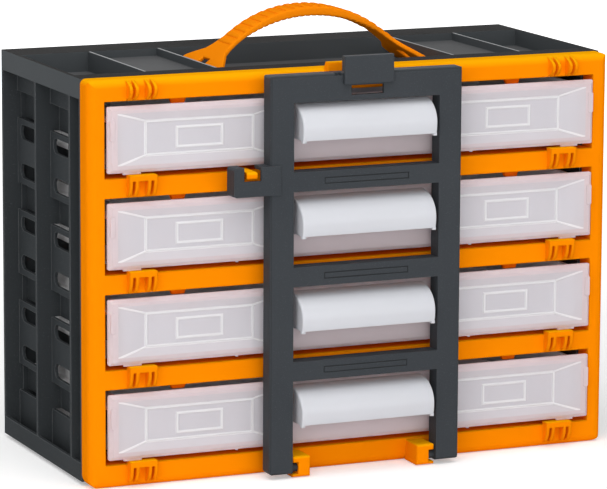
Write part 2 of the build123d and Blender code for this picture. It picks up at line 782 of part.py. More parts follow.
def make_strap():
    centre_z = strap_crown - strap_radius
    end_z = tray_floor + strap_end_height
    reach = hypot(strap_end, end_z - centre_z)
    angle = atan2(strap_end, end_z - centre_z) - acos(strap_radius / reach)
    arc_half = strap_radius * sin(angle)
    top_z = centre_z + strap_radius * cos(angle)
    under_z = strap_crown - strap_thickness
    under_radius = strap_radius + (strap_thickness * cos(angle) - strap_leg_thickness) / (1 - cos(angle))
    low_x = under_radius * sin(angle)
    low_z = under_z - under_radius * (1 - cos(angle))
    wide = strap_foot_width / 2
    y0 = strap_mid - wide
    crown = ThreePointArc((-arc_half, y0, top_z), (0, y0, strap_crown), (arc_half, y0, top_z))
    under = ThreePointArc((low_x, y0, low_z), (0, y0, under_z), (-low_x, y0, low_z))
    floor_x = low_x + (low_z - tray_floor) / tan(angle)
    leg = [(arc_half, top_z), (strap_end, end_z), (strap_end, tray_floor)]
    if floor_x < strap_end:
        leg.append((floor_x, tray_floor))
    else:
        leg[2] = (strap_end, low_z - tan(angle) * (strap_end - low_x))
    leg.append((low_x, low_z))
    right = Polyline(*[(x, y0, z) for x, z in leg])
    left = Polyline(*[(-x, y0, z) for x, z in leg])
    band = extrude(make_face([crown, right, under, left]), amount=2 * wide, dir=(0, 1, 0))
    slim = strap_width / 2
    neck = strap_neck_width / 2
    half_plan = [(strap_taper_start, slim), (strap_flare_start, neck), (strap_flare_end, wide),
                 (strap_end + 1, wide)]
    plan = [(-x, y) for x, y in half_plan[::-1]] + half_plan
    plan = [(x, strap_mid + y) for x, y in plan] + [(x, strap_mid - y) for x, y in plan[::-1]]
    band = band & prism_z(plan, tray_floor - 1, strap_crown + 5)
    holes = block(strap_hole_end - strap_hole_length, strap_hole_end, strap_mid - strap_hole_half,
                  strap_mid + strap_hole_half, tray_floor - 1, strap_crown)
    band = band - [holes, mirrored(holes)]
    extras = []
    arc_length = strap_radius * angle
    total = 2 * (arc_length + (grip_half_span - arc_half) / cos(angle))
    for index in range(grip_rib_count):
        place = -total / 2 + total * index / (grip_rib_count - 1)
        sunk = strap_radius - grip_rib_radius + grip_rib_rise
        turn = max(-angle, min(angle, place / strap_radius))
        spare = place - turn * strap_radius
        x = sunk * sin(turn) + spare * cos(turn)
        z = centre_z + sunk * cos(turn) - spare * sin(turn)
        extras.append(rod_y(x, strap_mid - slim, strap_mid + slim, z, grip_rib_radius))
    tongue = block(strap_end - 1, tongue_end, strap_mid - tongue_half, strap_mid + tongue_half,
                   tray_floor, tray_floor + tongue_height)
    extras += [tongue, mirrored(tongue)]
    return band + extras


def save(name, shape):
    face_y = pull_reach - (body_depth + pull_reach) / 2
    export_step(Pos(0, face_y, 0) * shape, f"parts/{name}.step")


side = make_side()
save("front_frame", make_frame())
save("left_side_panel", side)
save("right_side_panel", mirrored(side))
save("top_tray", make_tray())
save("back_panel", make_back())
save("base_panel", make_base())
save("rear_feet", make_feet())
drawer = make_drawer()
pull = make_pull()
partition = make_divider()
for number in range(1, bay_count + 1):
    lift = Pos(0, 0, sills[bay_count - number])
    save(f"drawer_{number}", lift * drawer)
    save(f"drawer_pull_{number}", lift * pull)
    if number > 2:
        save(f"drawer_divider_{number}", lift * partition)
save("locking_grille", make_grille())
save("latch_tab", make_latch())
save("handle_strap", make_strap())
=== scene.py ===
import json
import math

import bmesh
import bpy
from mathutils import Matrix, Vector


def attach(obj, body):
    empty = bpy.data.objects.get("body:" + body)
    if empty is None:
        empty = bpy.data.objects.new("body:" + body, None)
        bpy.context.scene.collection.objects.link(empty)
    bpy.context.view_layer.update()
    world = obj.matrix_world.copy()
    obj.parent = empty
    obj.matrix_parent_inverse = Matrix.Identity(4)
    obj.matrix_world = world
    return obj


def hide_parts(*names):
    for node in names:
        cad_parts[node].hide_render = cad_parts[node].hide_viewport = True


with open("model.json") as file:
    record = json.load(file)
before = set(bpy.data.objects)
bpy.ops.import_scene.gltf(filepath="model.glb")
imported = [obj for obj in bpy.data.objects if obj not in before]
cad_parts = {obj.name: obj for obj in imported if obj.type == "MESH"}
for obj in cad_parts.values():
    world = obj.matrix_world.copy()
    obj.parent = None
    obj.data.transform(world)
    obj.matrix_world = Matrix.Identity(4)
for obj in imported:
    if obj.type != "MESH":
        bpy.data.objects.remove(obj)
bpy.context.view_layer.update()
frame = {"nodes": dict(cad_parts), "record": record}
nodes = frame["nodes"]
scene = bpy.context.scene
scene.view_settings.view_transform = "Standard"


# camera, at the photograph's viewing angle

shot = {
    "place": (-1.1261, -2.5744, 0.6648),  # metres, same frame as the solids
    "azimuth": -23.51,  # degrees round the object, 0 looks at the front
    "elevation": 10.43,
    "roll": 0.29,
    "focalPixels": 3941.1,
    "imageWidth": 607,
    "sensorWidth": 36.0,
    "clip": (0.05, 60.0),
}


def makeCamera(look):
    azimuth = math.radians(look["azimuth"])
    elevation = math.radians(look["elevation"])
    roll = math.radians(look["roll"])
    back = Vector((math.sin(azimuth) * math.cos(elevation), -math.cos(azimuth) * math.cos(elevation),
                   math.sin(elevation)))
    level = (-back).cross(Vector((0, 0, 1))).normalized()
    upright = level.cross(-back)
    across = level * math.cos(roll) + upright * math.sin(roll)
    up = upright * math.cos(roll) - level * math.sin(roll)
    data = bpy.data.cameras.new("photoCamera")
    data.sensor_width = look["sensorWidth"]
    data.lens = look["focalPixels"] / look["imageWidth"] * look["sensorWidth"]
    data.clip_start, data.clip_end = look["clip"]
    camera = bpy.data.objects.new("photoCamera", data)
    turn = Matrix((across, up, back)).transposed().to_4x4()
    camera.matrix_world = Matrix.Translation(look["place"]) @ turn
    scene.collection.objects.link(camera)
    scene.camera = camera


makeCamera(shot)
print("camera placed")


# node helpers

def put(tree, kind, settings=None, sockets=None):
    node = tree.nodes.new(kind)
    for key, value in (settings or {}).items():
        setattr(node, key, value)
    for key, value in (sockets or {}).items():
        if isinstance(value, bpy.types.NodeSocket):
            tree.links.new(value, node.inputs[key])
        else:
            node.inputs[key].default_value = value
    return node


def freshMaterial(name):
    material = bpy.data.materials.new(name)
    material.use_nodes = True
    material.node_tree.nodes.clear()
    return material, material.node_tree


def span(tree, value, fromLow, fromHigh, toLow, toHigh):
    return put(tree, "ShaderNodeMapRange", {"clamp": True}, {
        "Value": value, "From Min": fromLow, "From Max": fromHigh, "To Min": toLow, "To Max": toHigh,
    }).outputs["Result"]


def noise(tree, coords, scale, detail, rough):
    return put(tree, "ShaderNodeTexNoise", None, {
        "Vector": coords, "Scale": scale, "Detail": detail, "Roughness": rough,
    }).outputs["Fac"]


def blendColours(tree, factor, first, second):
    node = put(tree, "ShaderNodeMix", {"data_type": "RGBA"}, {0: factor})
    for index, colour in ((6, first), (7, second)):  # the colour sockets: 6 and 7 in, 2 out
        if isinstance(colour, bpy.types.NodeSocket):
            tree.links.new(colour, node.inputs[index])
        else:
            node.inputs[index].default_value = (*colour, 1.0)
    return node.outputs[2]


def maths(tree, operation, first, second=0.0):
    return put(tree, "ShaderNodeMath", {"operation": operation}, {0: first, 1: second}).outputs[0]


def within(tree, value, low, high):
    above = maths(tree, "GREATER_THAN", value, low)
    return maths(tree, "MULTIPLY", above, maths(tree, "LESS_THAN", value, high))


def axesOf(tree, vector):
    return put(tree, "ShaderNodeSeparateXYZ", None, {0: vector}).outputs


def lookingUp(tree, low, high):
    normal = put(tree, "ShaderNodeNewGeometry").outputs["Normal"]
    return span(tree, axesOf(tree, normal)["Z"], low, high, 0.0, 1.0)


def edgeNormal(tree, radius):
    return put(tree, "ShaderNodeBevel", {"samples": 6}, {"Radius": radius}).outputs["Normal"]


def edgeMask(tree, softNormal, low, high):
    plain = put(tree, "ShaderNodeNewGeometry").outputs["Normal"]
    likeness = put(tree, "ShaderNodeVectorMath", {"operation": "DOT_PRODUCT"},
                   {0: softNormal, 1: plain}).outputs["Value"]
    return span(tree, likeness, low, high, 1.0, 0.0)


# moulded plastic: mottled colour, specks, fine grain and paler edges, partly wear and partly a painted
# highlight

def mouldedSkin(tree, coords, look):
    # colour, roughness and bump that every moulded piece shares
    cloud = noise(tree, coords, look["cloudScale"], detail=4.0, rough=0.55)
    speck = noise(tree, coords, look["speckScale"], detail=2.0, rough=0.6)
    grain = noise(tree, coords, look["grainScale"], detail=3.0, rough=0.65)
    softNormal = edgeNormal(tree, look["edgeRadius"])
    mottled = span(tree, cloud, *look["mottleRange"], 0.0, 1.0)
    speckTo = look["speckFrom"] + look["speckSoft"]
    specked = span(tree, speck, look["speckFrom"], speckTo, 0.0, look["speckStrength"])
    patchy = span(tree, cloud, *look["wearAndHighlightRange"], look["wearAndHighlightLow"], look["wearAndHighlightHigh"])
    # paler edges: partly wear, partly a painted highlight along every edge
    wearAndHighlight = maths(tree, "MULTIPLY", edgeMask(tree, softNormal, *look["edgeRange"]), patchy)
    colour = blendColours(tree, mottled, look["colour"], look["colourAlt"])
    colour = blendColours(tree, specked, colour, look["speckColour"])
    colour = blendColours(tree, wearAndHighlight, colour, look["edgeWearAndHighlightColour"])
    uneven = maths(tree, "ADD", cloud, grain)
    roughness = span(tree, uneven, *look["roughRange"], look["roughLow"], look["roughHigh"])
    bump = put(tree, "ShaderNodeBump", None, {
        "Strength": look["grainStrength"], "Distance": look["grainDepth"],
        "Height": grain, "Normal": softNormal,
    }).outputs["Normal"]
    return colour, roughness, bump


def topPaintedLight(tree, coords, colour, look):
    # the shell's top, painted light and shade: lighter tray floors and a paler band above the floors' height
    # are painted light, darker strips round the floors are painted shade, pale tops on the walls across are
    # painted highlights
    axes = axesOf(tree, coords)
    facing = lookingUp(tree, *look["deckFacing"])
    band = maths(tree, "GREATER_THAN", axes["Z"], look["trayFrom"])
    tray = span(tree, axes["Z"], look["trayFrom"], look["trayFrom"] + look["deckSoft"], 0.0, 1.0)
    deck = span(tree, axes["Z"], look["deckFrom"], look["deckFrom"] + look["deckSoft"], 0.0, 1.0)
    # painted light on the band above the tray floors' height and on the floors that look up, painted shade on
    # the strips round them
    colour = blendColours(tree, band, colour, look["bandLightColour"])
    colour = blendColours(tree, maths(tree, "MULTIPLY", facing, tray), colour, look["trayLightColour"])
    colour = blendColours(tree, maths(tree, "MULTIPLY", facing, deck), colour, look["deckShadeColour"])
    reach = maths(tree, "ABSOLUTE", axes["X"])
    along = within(tree, axes["Y"], look["rimFront"], look["rimBack"])
    for middle in look["rimReaches"]:
        off = maths(tree, "ABSOLUTE", maths(tree, "SUBTRACT", reach, middle))
        rim = span(tree, off, look["rimHalf"] / 2, look["rimHalf"], 1.0, 0.0)
        rim = maths(tree, "MULTIPLY", rim, maths(tree, "MULTIPLY", along, deck))
        # painted highlight along the tops of the walls across the tray
        colour = blendColours(tree, rim, colour, look["rimHighlightColour"])
    return colour


def bayPaintedLight(tree, coords, colour, look):
    # painted light and shade: yellower where the frame looks up, as if lit from above; redder inside the bays,
    # painted shade where light bounces off orange again
    axes = axesOf(tree, coords)
    deep = span(tree, axes["Y"], look["deepFrom"], look["deepTo"], 0.0, 1.0)
    between = maths(tree, "LESS_THAN", maths(tree, "ABSOLUTE", axes["X"]), look["bayHalf"])
    between = maths(tree, "MULTIPLY", between, within(tree, axes["Z"], look["bayLow"], look["bayHigh"]))
    colour = blendColours(tree, lookingUp(tree, *look["topFacing"]), colour, look["topLitColour"])
    return blendColours(tree, maths(tree, "MULTIPLY", deep, between), colour, look["deepShadeColour"])


def groovePaintedShade(tree, coords, colour, look):
    # painted shade: darker floor of the shallow outlines on the front face
    sunk = within(tree, axesOf(tree, coords)["Y"], *look["groove"])
    return blendColours(tree, sunk, colour, look["grooveShadeColour"])


def plasticShader(tree, look, colour, roughness, bump):
    return put(tree, "ShaderNodeBsdfPrincipled", None, {
        "Base Color": colour, "Roughness": roughness, "Normal": bump,
        "IOR": look["ior"], "Specular IOR Level": look["specular"],
    }).outputs["BSDF"]


def scatterThrough(tree, colour, bump):
    return put(tree, "ShaderNodeBsdfTranslucent", None, {"Color": colour, "Normal": bump}).outputs["BSDF"]


def blendShaders(tree, share, first, second):
    return put(tree, "ShaderNodeMixShader", None, {0: share, 1: first, 2: second}).outputs[0]


def mouldedPlastic(name, look):
    material, tree = freshMaterial(name)
    coords = put(tree, "ShaderNodeTexCoord").outputs["Object"]
    colour, roughness, bump = mouldedSkin(tree, coords, look)
    if "deckFrom" in look:
        colour = topPaintedLight(tree, coords, colour, look)
    if "groove" in look:
        colour = groovePaintedShade(tree, coords, colour, look)
    if "deepFrom" in look:
        colour = bayPaintedLight(tree, coords, colour, look)
    surface = plasticShader(tree, look, colour, roughness, bump)
    if "glow" in look:
        surface = blendShaders(tree, look["glow"], surface, scatterThrough(tree, colour, bump))
    put(tree, "ShaderNodeOutputMaterial", None, {"Surface": surface})
    return material


plainPlastic = {
    "cloudScale": 9.0, "mottleRange": (0.30, 0.70),
    "speckScale": 900.0, "speckFrom": 0.62, "speckSoft": 0.1, "speckStrength": 0.12,
    "grainScale": 1500.0, "grainStrength": 0.25, "grainDepth": 0.0002, "roughRange": (0.7, 1.3),
    "edgeRadius": 0.0006, "edgeRange": (0.80, 0.985),  # metres; likeness of rounded and plain normals
    # paler edges: partly wear, partly a painted highlight
    "wearAndHighlightRange": (0.35, 0.65), "wearAndHighlightLow": 0.15, "wearAndHighlightHigh": 0.5,
    "ior": 1.46, "specular": 0.5,
}
orangeLook = dict(
    plainPlastic, colour=(0.98, 0.268, 0.001), colourAlt=(0.95, 0.248, 0.001),
    speckColour=(1.0, 0.30, 0.003), edgeWearAndHighlightColour=(1.0, 0.34, 0.004),
    roughLow=0.40, roughHigh=0.52, edgeRadius=0.0020, specular=0.0,
)
frameLook = dict(
    # painted light on the faces that look up, painted shade and bounce light deep in the bays
    orangeLook, topFacing=(0.1, 0.9), topLitColour=(1.0, 0.42, 0.002),
    deepFrom=-0.0740, deepTo=-0.0700, deepShadeColour=(1.0, 0.165, 0.003),  # metres, front to back
    bayHalf=0.1885, bayLow=0.0150, bayHigh=0.2735,
)
strapLook = dict(orangeLook, colour=(0.98, 0.270, 0.004), colourAlt=(0.95, 0.252, 0.004), edgeRadius=0.0005)
shellLook = dict(
    plainPlastic, colour=(0.048, 0.053, 0.057), colourAlt=(0.041, 0.046, 0.049),
    speckColour=(0.15, 0.16, 0.165), edgeWearAndHighlightColour=(0.26, 0.27, 0.28), roughLow=0.46, roughHigh=0.6,
    grainStrength=0.4, speckStrength=0.35, specular=0.012, wearAndHighlightLow=0.35, wearAndHighlightHigh=0.8,
    # painted shade on the strips round the tray, painted light on the tray floors and the band, painted
    # highlights on the tops of the walls across
    deckFrom=0.2860, deckShadeColour=(0.012, 0.0115, 0.0115),  # strips round the tray, metres above the floor
    deckFacing=(0.6, 0.9), deckSoft=0.0002,
    trayFrom=0.2724, trayLightColour=(0.100, 0.102, 0.105), bandLightColour=(0.070, 0.077, 0.082),  # floors, walls
    rimReaches=(0.092, 0.145), rimHalf=0.0010, rimHighlightColour=(0.42, 0.43, 0.44),  # tops of the walls across
    rimFront=-0.0420, rimBack=0.0690,
)
grilleLook = dict(
    plainPlastic, colour=(0.040, 0.045, 0.051), colourAlt=(0.034, 0.039, 0.045),
    speckColour=(0.15, 0.16, 0.17), edgeWearAndHighlightColour=(0.10, 0.108, 0.115), roughLow=0.5, roughHigh=0.64,
    grainStrength=0.4, speckStrength=0.35, speckScale=1500.0, specular=0.15,
    # painted shade on the floor of the shallow outlines
    groove=(-0.0966, -0.0963), grooveShadeColour=(0.024, 0.027, 0.030),  # metres, front to back
)
footLook = dict(grilleLook, colour=(0.022, 0.022, 0.024), colourAlt=(0.017, 0.017, 0.019))
pullLook = dict(
    plainPlastic, colour=(0.76, 0.77, 0.81), colourAlt=(0.73, 0.74, 0.78),
    speckColour=(0.79, 0.80, 0.83), edgeWearAndHighlightColour=(0.86, 0.86, 0.88), roughLow=0.3, roughHigh=0.4,
    grainStrength=0.1, wearAndHighlightLow=0.2, wearAndHighlightHigh=0.5,
    glow=0.22,  # share of light that scatters out of the far side
)


# milky drawers: cloudy see-through plastic, thicker along the ridges of each sunk panel, and paler there as a
# painted highlight

drawerLook = dict(
    plainPlastic, colour=(0.88, 0.865, 0.905), colourAlt=(0.85, 0.835, 0.875),
    speckColour=(0.89, 0.88, 0.91), edgeWearAndHighlightColour=(0.93, 0.91, 0.93), roughLow=0.30, roughHigh=0.42,
    wearAndHighlightLow=0.45, wearAndHighlightHigh=0.75, edgeRadius=0.0008, grainStrength=0.12, cloudScale=14.0,
    # the border's pink tint is painted orange light from behind
    borderOrangeLightColour=(0.90, 0.81, 0.835), ridgeHighlightColour=(0.94, 0.935, 0.95), tubColour=(0.95, 0.94, 0.945),
    clearColour=(0.97, 0.95, 0.96, 1.0),
    seeThrough=0.20, tubSeeThrough=0.05, ridgeSeeThrough=0.02,  # share of light that passes straight on
    glow=0.42, tubGlow=0.12, ridgeGlow=0.30,  # share of the rest that scatters out of the far side
    sill=16.5, pitch=67.3, frontLimit=-75.2,  # millimetres from here on
    panel=(58.5, 180.0, 9.6, 45.8), panelFloor=(78.4, 159.0, 15.8, 39.7),  # low, high, bottom, top
    labelFrame=(101.25, 136.15, 20.0, 34.8),
    floorLine=(0.2, 2.0), labelLine=(0.65, 1.9), lineFade=(0.35, 0.65),  # inset, width; shares of the width
    slopeLine=(0.0, 1.6), slopeFade=(0.3, 0.6), slopeSoft=0.2, borderSoft=0.3, frontSoft=0.2,
)


def offMiddle(tree, value, low, high):
    away = maths(tree, "ABSOLUTE", maths(tree, "SUBTRACT", value, (low + high) / 2))
    return maths(tree, "SUBTRACT", away, (high - low) / 2)


def boxDistance(tree, across, height, edges):
    # below zero inside the rectangle, millimetres
    low, high, bottom, top = edges
    return maths(tree, "MAXIMUM", offMiddle(tree, across, low, high), offMiddle(tree, height, bottom, top))


def lineMask(tree, distance, line, fade):
    inwards, width = line
    off = maths(tree, "ABSOLUTE", maths(tree, "ADD", distance, inwards))
    return span(tree, off, width * fade[0], width * fade[1], 1.0, 0.0)


def inset(tree, value, low, high, lowRun, highRun):
    rising = maths(tree, "DIVIDE", maths(tree, "SUBTRACT", value, low), lowRun)
    falling = maths(tree, "DIVIDE", maths(tree, "SUBTRACT", high, value), highRun)
    return maths(tree, "MINIMUM", rising, falling)


def slopeRidges(tree, across, height, look):
    # the diagonal lines where two slopes of a panel meet
    low, high, bottom, top = look["panel"]
    floorLow, floorHigh, floorBottom, floorTop = look["panelFloor"]
    sideways = inset(tree, across, low, high, floorLow - low, high - floorHigh)
    upwards = inset(tree, height, bottom, top, floorBottom - bottom, top - floorTop)
    steep = (floorBottom - bottom) * (floorLow - low) / math.hypot(floorBottom - bottom, floorLow - low)
    apart = maths(tree, "MULTIPLY", maths(tree, "SUBTRACT", sideways, upwards), steep)
    return lineMask(tree, apart, look["slopeLine"], look["slopeFade"])


def drawerMasks(tree, coords, look):
    # ridge lines, border of the front and the front itself, as masks
    axes = axesOf(tree, coords)
    perMetre = 1000.0
    across = maths(tree, "MULTIPLY", maths(tree, "ABSOLUTE", axes["X"]), perMetre)
    depth = maths(tree, "MULTIPLY", axes["Y"], perMetre)
    height = maths(tree, "SUBTRACT", maths(tree, "MULTIPLY", axes["Z"], perMetre), look["sill"])
    height = maths(tree, "FLOORED_MODULO", height, look["pitch"])
    panelGap = boxDistance(tree, across, height, look["panel"])
    floorGap = boxDistance(tree, across, height, look["panelFloor"])
    labelGap = boxDistance(tree, across, height, look["labelFrame"])
    soft, borderSoft, frontSoft = look["slopeSoft"], look["borderSoft"], look["frontSoft"]
    onSlope = maths(tree, "MULTIPLY", span(tree, panelGap, -soft, soft, 1.0, 0.0),
                    span(tree, floorGap, -soft, soft, 0.0, 1.0))
    lines = maths(tree, "MAXIMUM", lineMask(tree, floorGap, look["floorLine"], look["lineFade"]),
                  lineMask(tree, labelGap, look["labelLine"], look["lineFade"]))
    slopes = maths(tree, "MULTIPLY", slopeRidges(tree, across, height, look), onSlope)
    lines = maths(tree, "MAXIMUM", lines, slopes)
    front = span(tree, depth, look["frontLimit"] - frontSoft, look["frontLimit"] + frontSoft, 1.0, 0.0)
    border = maths(tree, "MULTIPLY", span(tree, panelGap, -borderSoft, borderSoft, 0.0, 1.0), front)
    return maths(tree, "MULTIPLY", lines, front), border, front


def milkyPlastic(name, look):
    material, tree = freshMaterial(name)
    coords = put(tree, "ShaderNodeTexCoord").outputs["Object"]
    colour, roughness, bump = mouldedSkin(tree, coords, look)
    lines, border, front = drawerMasks(tree, coords, look)
    colour = blendColours(tree, front, look["tubColour"], colour)
    # painted light: a pink tint round the border, standing for orange light from behind
    colour = blendColours(tree, border, colour, look["borderOrangeLightColour"])
    # paler ridge lines are a painted highlight; the ridges also let less light through, being thicker
    colour = blendColours(tree, lines, colour, look["ridgeHighlightColour"])
    scatter = span(tree, front, 0.0, 1.0, look["tubGlow"], look["glow"])
    scatter = span(tree, lines, 0.0, 1.0, scatter, look["ridgeGlow"])
    cloudy = blendShaders(tree, scatter, plasticShader(tree, look, colour, roughness, bump),
                          scatterThrough(tree, colour, bump))
    passing = span(tree, front, 0.0, 1.0, look["tubSeeThrough"], look["seeThrough"])
    passing = span(tree, lines, 0.0, 1.0, passing, look["ridgeSeeThrough"])
    clear = put(tree, "ShaderNodeBsdfTransparent", None, {"Color": look["clearColour"]}).outputs["BSDF"]
    put(tree, "ShaderNodeOutputMaterial", None, {"Surface": blendShaders(tree, passing, cloudy, clear)})
    return material


finishes = {
    "orange_frame": mouldedPlastic("orangeMoulding", frameLook),
    "orange_strap": mouldedPlastic("orangeStrap", strapLook),
    "grey_shell": mouldedPlastic("charcoalShell", shellLook),
    "grey_grille": mouldedPlastic("charcoalGrille", grilleLook),
    "dark_foot": mouldedPlastic("darkFoot", footLook),
    "milky_drawer": milkyPlastic("milkyDrawer", drawerLook),
    "white_pull": mouldedPlastic("whitePull", pullLook),
}
for part in frame["record"]["subparts"]:
    piece = nodes[part["node"]]
    piece.data.materials.clear()
    piece.data.materials.append(finishes[part["material_slot"]])
print("finishes assigned:", len(finishes))


# carrying strap: a flexed band that widens into a slotted pad at each end, with low ribs above and below

strap = {  # metres, heights from the floor, reaches from the middle
    "crown": 0.3208, "bendRadius": 0.090, "endReach": 0.0906, "endHeight": 0.2762,
    "thickness": 0.0060, "padThickness": 0.0030, "middle": 0.0135,
    "halfWidths": ((0.0, 0.0130), (0.060, 0.0130), (0.066, 0.0150), (0.070, 0.0180), (0.076, 0.0300),
                   (0.079, 0.0350), (0.082, 0.0360), (0.0906, 0.0360)),  # reach, half width
    "slotFrom": 0.0767, "slotTo": 0.0847, "slotHalf": 0.0070,
    "stepReach": 0.003, "stepCount": 25, "closest": 0.0006,  # spacing of the rows of faces
    "edgeRound": 0.0009, "edgeSegments": 3, "edgeAngle": 40.0, "floor": 0.2727, "padGap": 0.0002,
    "tongueReach": 0.0980, "tongueHalf": 0.0120, "tongueHigh": 0.0034, "tongueLap": 0.0015,
}
gripRibs = {  # metres; the shape in shares of along, rise and length
    "span": 0.0610, "count": 20, "length": 0.0236, "along": 0.0050, "rise": 0.0009,
    "underneath": False, "pathSteps": 80,
    "profile": ((-0.5, -0.6), (-0.46, 0.45), (-0.34, 0.9), (0.0, 1.0), (0.34, 0.9), (0.46, 0.45), (0.5, -0.6)),
    "ends": ((-0.5, 0.25), (-0.46, 0.8), (-0.40, 1.0), (0.40, 1.0), (0.46, 0.8), (0.5, 0.25)),
}
fingerRibs = dict(gripRibs, span=0.0500, count=22, length=0.0250, along=0.0036, rise=0.0008, underneath=True)


def strapRule(look):
    # top line of the band: a bend over the middle, then a straight leg to each end
    centre = look["crown"] - look["bendRadius"]
    rise = look["endHeight"] - centre
    angle = math.atan2(look["endReach"], rise)
    angle -= math.acos(look["bendRadius"] / math.hypot(look["endReach"], rise))
    bendReach = look["bendRadius"] * math.sin(angle)

    def station(reach):
        if abs(reach) <= bendReach:
            lean = math.asin(reach / look["bendRadius"])
            height = centre + look["bendRadius"] * math.cos(lean)
        else:
            lean = math.copysign(angle, reach)
            height = centre + look["bendRadius"] * math.cos(angle) - (abs(reach) - bendReach) * math.tan(angle)
        share = (1 - math.cos(lean)) / (1 - math.cos(angle))
        thick = look["thickness"] + (look["padThickness"] - look["thickness"]) * share
        return Vector((reach, 0, height)), Vector((math.sin(lean), 0, math.cos(lean))), thick

    return station


def ramp(table, value):
    for (fromValue, fromResult), (toValue, toResult) in zip(table, table[1:]):
        if value <= toValue:
            return fromResult + (toResult - fromResult) * (value - fromValue) / (toValue - fromValue)
    return table[-1][1]


def strapReaches(look):
    marks = {0.0, look["slotFrom"], look["slotTo"], look["endReach"]}
    marks.update(reach for reach, half in look["halfWidths"])
    marks.update(look["stepReach"] * step for step in range(1, look["stepCount"] + 1))
    kept = []
    for reach in sorted(marks):
        if not kept or reach - kept[-1] > look["closest"] or reach in (look["slotFrom"], look["slotTo"]):
            kept.append(reach)
    return [-reach for reach in kept[:0:-1]] + kept


def settle(piece, material):
    # the evaluated shape as a plain smooth-shaded mesh
    graph = bpy.context.evaluated_depsgraph_get()
    mesh = bpy.data.meshes.new_from_object(piece.evaluated_get(graph), depsgraph=graph)
    piece.modifiers.clear()
    piece.data = mesh
    mesh.name = piece.name
    mesh.materials.clear()
    mesh.materials.append(material)
    sharpFrom = math.radians(35)
    mesh.shade_smooth()
    mesh.set_sharp_from_angle(angle=sharpFrom)
    return piece


def strapRows(mesh, look, reaches):
    # across the band at each reach, nine points on top and nine underneath
    station = strapRule(look)
    slot = look["slotHalf"]
    rows = []
    for reach in reaches:
        place, normal, thick = station(reach)
        half = ramp(look["halfWidths"], abs(reach))
        offsets = [-half, -(half + slot) / 2, -slot, -slot / 2, 0, slot / 2, slot, (half + slot) / 2, half]
        pair = []
        for depth in (0.0, thick):
            row = []
            for offset in offsets:
                point = place - normal * depth + Vector((0, look["middle"] + offset, 0))
                point.z = max(point.z, look["floor"] + look["padGap"])
                row.append(mesh.verts.new(point))
            pair.append(row)
        rows.append(pair)
    return rows


def makeStrap(look):
    reaches = strapReaches(look)
    mesh = bmesh.new()
    rows = strapRows(mesh, look, reaches)
    columnCount = len(rows[0][0]) - 1
    slotColumns = range(2, 6)  # the faces between the slot's edges
    solid = set()
    for index, (reach, following) in enumerate(zip(reaches, reaches[1:])):
        middle = abs(reach + following) / 2
        for column in range(columnCount):
            inSlot = look["slotFrom"] < middle < look["slotTo"] and column in slotColumns
            if not inSlot:
                solid.add((index, column))
    for index, column in solid:
        top = [rows[index][0][column], rows[index + 1][0][column], rows[index + 1][0][column + 1],
               rows[index][0][column + 1]]
        under = [rows[index][1][column], rows[index][1][column + 1], rows[index + 1][1][column + 1],
                 rows[index + 1][1][column]]
        mesh.faces.new(top)
        mesh.faces.new(under)
        # a wall wherever the neighbouring face is missing
        for step, side in (((-1, 0), ((0, 1), (0, 0))), ((1, 0), ((1, 0), (1, 1))),
                           ((0, -1), ((0, 0), (1, 0))), ((0, 1), ((1, 1), (0, 1)))):
            if (index + step[0], column + step[1]) in solid:
                continue
            (rowA, colA), (rowB, colB) = side
            mesh.faces.new([rows[index + rowA][0][column + colA], rows[index + rowA][1][column + colA],
                            rows[index + rowB][1][column + colB], rows[index + rowB][0][column + colB]])
    for side in (-1, 1):
        low, high = sorted((side * (look["endReach"] - look["tongueLap"]), side * look["tongueReach"]))
        floor = look["floor"] + look["padGap"]
        tongue = bmesh.ops.create_cube(mesh, size=1.0)["verts"]
        for vert in tongue:
            vert.co.x = low if vert.co.x < 0 else high
            vert.co.y = look["middle"] + math.copysign(look["tongueHalf"], vert.co.y)
            vert.co.z = floor if vert.co.z < 0 else floor + look["tongueHigh"]
    bmesh.ops.recalc_face_normals(mesh, faces=mesh.faces[:])
    data = bpy.data.meshes.new("carryStrap")
    mesh.to_mesh(data)
    mesh.free()
    piece = bpy.data.objects.new("carryStrap", data)
    scene.collection.objects.link(piece)
    bevel = piece.modifiers.new("roundedEdges", "BEVEL")
    bevel.width = look["edgeRound"]
    bevel.segments = look["edgeSegments"]
    bevel.limit_method = "ANGLE"
    bevel.angle_limit = math.radians(look["edgeAngle"])
    return settle(piece, finishes["orange_strap"])


def makeRib(name, look):
    # one low grip rib, rounded on top, lengthwise on y
    mesh = bmesh.new()
    profile = look["profile"]
    rings = []
    for share, scale in look["ends"]:
        heights = [z * look["rise"] if z < 0 else z * look["rise"] * scale for x, z in profile]
        rings.append([mesh.verts.new((x * look["along"], share * look["length"], height))
                      for (x, z), height in zip(profile, heights)])
    for first, second in zip(rings, rings[1:]):
        for index in range(len(profile)):
            after = (index + 1) % len(profile)
            mesh.faces.new((first[index], first[after], second[after], second[index]))
    mesh.faces.new(rings[0])
    mesh.faces.new(rings[-1][::-1])
    bmesh.ops.recalc_face_normals(mesh, faces=mesh.faces[:])
    data = bpy.data.meshes.new(name)
    mesh.to_mesh(data)
    mesh.free()
    return bpy.data.objects.new(name, data)


